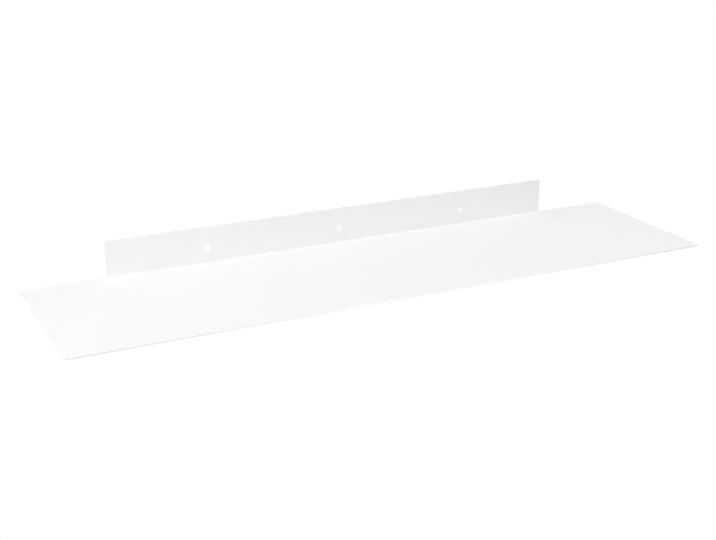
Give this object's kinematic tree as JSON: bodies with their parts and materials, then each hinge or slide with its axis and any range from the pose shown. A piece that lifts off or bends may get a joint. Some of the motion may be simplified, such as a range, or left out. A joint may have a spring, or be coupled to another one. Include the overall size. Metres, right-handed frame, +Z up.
{
  "type": "floating wall shelf",
  "caption": "Floating wall shelf folded from white-coated sheet steel: a thin plate with a wall flange bent up along its back edge, hung by screws in wall plugs.",
  "frame": {"origin": "on the wall's face behind the flange, on the axis of the middle screw", "axes": "+X along the shelf, to the right for someone facing the wall; +Y into the wall; +Z up"},
  "size_m": [0.8, 0.2435, 0.047],
  "materials": {
    "white_coating": "satin white powder coating with a fine orange peel",
    "screw_coating": "zinc-plated steel, the head painted white",
    "plug_nylon": "light grey moulded nylon"
  },
  "bodies": {
    "root": {"shelf_sheet": "white_coating", "wall_screw_left": "screw_coating", "wall_screw_centre": "screw_coating", "wall_screw_right": "screw_coating", "wall_plug_left": "plug_nylon", "wall_plug_centre": "plug_nylon", "wall_plug_right": "plug_nylon"}
  },
  "joints": []
}
